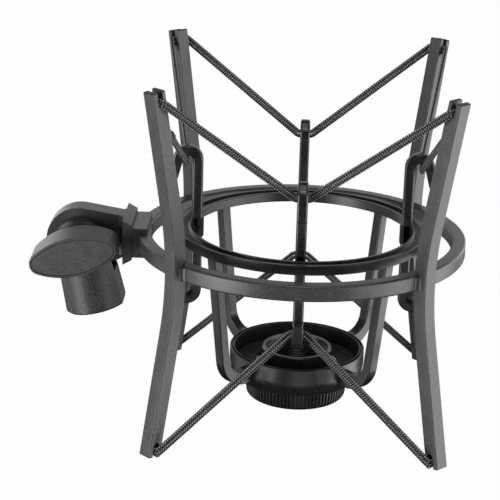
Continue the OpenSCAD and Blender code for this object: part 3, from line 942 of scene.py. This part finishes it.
def makeJoiner(levelName, strandName):
    level, side = levels[levelName], strands[strandName]
    corner = joiner["corners"][levelName + strandName.title()]
    start = cordCorner(level, side, corner)
    end = cordCorner(level, side, corner - 1)
    ahead = (end - start).normalized()
    flat = math.hypot(ahead.x, ahead.y)
    away = Vector((-ahead.z * ahead.x / flat, -ahead.z * ahead.y / flat, flat))
    clearSelection()
    bpy.ops.mesh.primitive_cylinder_add(
        vertices=24, radius=joiner["thick"] / 2, depth=joiner["length"], end_fill_type="NGON")
    sleeve = bpy.context.object
    sleeve.name = levelName + "Joiner" + strandName.title()
    editAll(sleeve)
    for height in (-joiner["waistHalf"], joiner["waistHalf"]):  # the two edges of the crimped waist
        bpy.ops.mesh.select_all(action="SELECT")
        bpy.ops.mesh.bisect(plane_co=(0, 0, height), plane_no=(0, 0, 1))
    leaveEdit()
    pickPoints(sleeve, lambda point: abs(point.z) < joiner["length"] / 4)
    bpy.ops.transform.resize(value=(joiner["waist"], joiner["waist"], 1), center_override=(0, 0, 0))
    leaveEdit()
    roundEdges(sleeve, joiner["edge"], 3, 60)
    sleeve.location = start + joiner["share"] * (end - start) + side * joiner["aside"] * away
    sleeve.rotation_euler = (0, math.acos(ahead.z), math.atan2(ahead.y, ahead.x))
    bakePlace(sleeve)
    smoothOver(sleeve, 40)
    wear(sleeve, padRubber, None, "pad_rubber", "cord_joiners")
    start, end = cordRun["blendUpper"] if level == 0 else cordRun["blendLower"]
    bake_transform(sleeve)


makeCords()
for levelName in levels:
    for strandName in strands:
        makeJoiner(levelName, strandName)
print("cords done")


def makeAdapter():
    fork = roundedCopy("stand_adapter", "standAdapter", castEdges["adapter"], 16)
    smoothOver(fork, 20)
    wear(fork, castCoat, "adapter", "satin_coat", "stand_adapter")


knobShape = {"length": 36.6 * mm, "height": 16.4 * mm, "endRadius": 4.6 * mm, "front": -24.8 * mm,
             "back": -11.3 * mm, "flare": 19.0 / 16.4, "turn": 14.3, "pivot": (-92.4 * mm, 50.7 * mm),
             "edge": 0.45 * mm, "bore": 3 * mm, "boreDepth": 18 * mm, "lip": 0.35 * mm,
             "lipGap": 0.16 * mm, "lipSlope": 0.4 * mm, "lipDepth": 0.4 * mm}


def ovalPoints(length, height, endRadius):
    # two wide arcs and two tight ends
    reach = length / 2 - endRadius
    half = height / 2
    wide = (reach ** 2 + half ** 2 - endRadius ** 2) / (2 * (half - endRadius))
    spread = math.degrees(math.atan2(reach, wide - half))
    points = []
    for centre, radius, start, end, steps in (
            ((0, half - wide), wide, 90 - spread, 90 + spread, 24),
            ((-reach, 0), endRadius, 90 + spread, 270 - spread, 12),
            ((0, wide - half), wide, 270 - spread, 270 + spread, 24),
            ((reach, 0), endRadius, 270 + spread, 450 - spread, 12)):
        points += [pointOn(centre, radius, start + (end - start) * step / steps) for step in range(steps)]
    return points


def makeKnob():
    outline = ovalPoints(knobShape["length"], knobShape["height"], knobShape["endRadius"])
    knob = drawnLoop("clampKnob", [(x, knobShape["front"], z) for x, z in outline])
    bpy.ops.mesh.edge_face_add()
    deep = knobShape["back"] - knobShape["front"]
    bpy.ops.mesh.extrude_region_move(TRANSFORM_OT_translate={"value": (0, deep, 0)})
    bpy.ops.transform.resize(value=(1, 1, knobShape["flare"]), center_override=(0, knobShape["back"], 0))
    closeUp(knob)
    roundEdges(knob, knobShape["edge"], 4, 50)
    pickPoints(knob, lambda point: point.y < knobShape["front"] + 0.001 * mm)
    bpy.ops.mesh.inset(thickness=knobShape["lip"])  # fine groove round the front
    bpy.ops.mesh.inset(thickness=knobShape["lipGap"], depth=-knobShape["lipDepth"])
    bpy.ops.mesh.inset(thickness=knobShape["lipSlope"], depth=knobShape["lipDepth"])
    leaveEdit()
    clearSelection()
    bpy.ops.mesh.primitive_cylinder_add(
        vertices=48, radius=knobShape["bore"], depth=knobShape["boreDepth"],
        location=(0, knobShape["back"], 0), rotation=(math.pi / 2, 0, 0))
    bore = bpy.context.object
    bakePlace(bore)
    cutAway(knob, bore)
    knob.rotation_euler.y = math.radians(-knobShape["turn"])
    knob.location = (knobShape["pivot"][0], 0, knobShape["pivot"][1])
    bakePlace(knob)
    smoothOver(knob, 35)
    wear(knob, knobPlastic, "knob", "knob_plastic", "clamp_knob")


makeAdapter()
makeKnob()
print("adapter and knob done")


nodeFinishes = {"lug_screw": plainSteel, "retaining_clip": plainSteel, "clamp_nut": plainSteel,
                "knob_washer": plainSteel, "clamp_bolt": plainSteel, "thread_insert": turnedBrass,
                "friction_washers": padRubber}


def finishCadPieces():
    for node, material in nodeFinishes.items():
        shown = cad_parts[node]
        shown.data.materials.clear()
        shown.data.materials.append(material)


finishCadPieces()


studio = {"floorSize": 6.0, "floorGlow": 0.985, "floorShade": (0.7, 0.7, 0.7, 1), "ambient": 0.01,
          "softboxes": {
              "right": {"place": (0.8, 0.0, -0.08), "size": (0.9, 0.8), "power": 8.6},
              "rightFront": {"place": (0.62, -0.5, 0.0), "size": (0.4, 0.6), "power": 2.8},
              "left": {"place": (-0.8, 0.04, -0.08), "size": (0.9, 0.8), "power": 1.9},
              "leftFront": {"place": (-0.62, -0.5, 0.0), "size": (0.4, 0.6), "power": 6.8},
              "low": {"place": (0.1, -0.8, -0.42), "size": (0.5, 0.3), "power": 0.7},
              "top": {"place": (0.0, -0.5, 0.8), "size": (0.3, 0.3), "power": 1.6},
              "above": {"place": (0.0, 0.0, 0.95), "size": (0.5, 0.5), "power": 1.6},
              "rearLeft": {"place": (-0.6, 0.65, 0.1), "size": (0.5, 0.6), "power": 2.4},
              "rearRight": {"place": (0.6, 0.65, 0.1), "size": (0.5, 0.6), "power": 2.2},
              "back": {"place": (0.0, 0.9, 0.36), "size": (1.4, 0.4), "power": 1.9}}}


def makeFloor():
    clearSelection()
    bpy.ops.mesh.primitive_plane_add(size=studio["floorSize"], location=(0, 0, cadLow.z))
    floor = bpy.context.object
    floor.name = "floor"
    shader = Shader("paleFloor")
    shader.set(colour=studio["floorShade"])
    cloud = shader.noise(0.4, 2, 0.5)
    shader.set(roughness=cloud * 0.05 + 0.88)
    seen = shader.add("ShaderNodeLightPath", {}, {}).outputs["Is Camera Ray"]
    glow = shader.add("ShaderNodeEmission", {}, {"Color": (1, 1, 1, 1), "Strength": 1.0})
    mix = shader.add("ShaderNodeMixShader", {}, {
        0: Wire(shader, seen) * studio["floorGlow"], 1: shader.skin.outputs[0], 2: glow.outputs[0]})
    shader.feed(shader.tree.nodes["Material Output"].inputs[0], mix.outputs[0])
    floor.data.materials.append(shader.material)
    floor.visible_glossy = False  # the low softboxes shine up past it
    floor.visible_diffuse = False
    floor.visible_shadow = False


def makeLights():
    middle = Vector((0, 0, 0.055))
    for name, box in studio["softboxes"].items():
        light = bpy.data.lights.new(name, "AREA")
        light.shape = "RECTANGLE"
        light.size, light.size_y = box["size"]
        light.energy = box["power"]
        lamp = bpy.data.objects.new(name, light)
        bpy.context.scene.collection.objects.link(lamp)
        lamp.visible_camera = False
        lamp.location = box["place"]
        lamp.rotation_euler = (middle - lamp.location).to_track_quat("-Z", "Y").to_euler()


def makeWorld():
    world = bpy.data.worlds.new("studio")
    bpy.context.scene.world = world
    world.use_nodes = True
    tree = world.node_tree
    path = tree.nodes.new("ShaderNodeLightPath")
    backdrop = tree.nodes["Background"]
    backdrop.inputs["Color"].default_value = (1, 1, 1, 1)
    strength = tree.nodes.new("ShaderNodeMapRange")
    strength.inputs[3].default_value = studio["ambient"]
    strength.inputs[4].default_value = 1.0
    tree.links.new(path.outputs["Is Camera Ray"], strength.inputs[0])
    tree.links.new(strength.outputs[0], backdrop.inputs["Strength"])
    bpy.context.scene.view_settings.view_transform = "Standard"


makeFloor()
makeLights()
makeWorld()
print("studio lit")
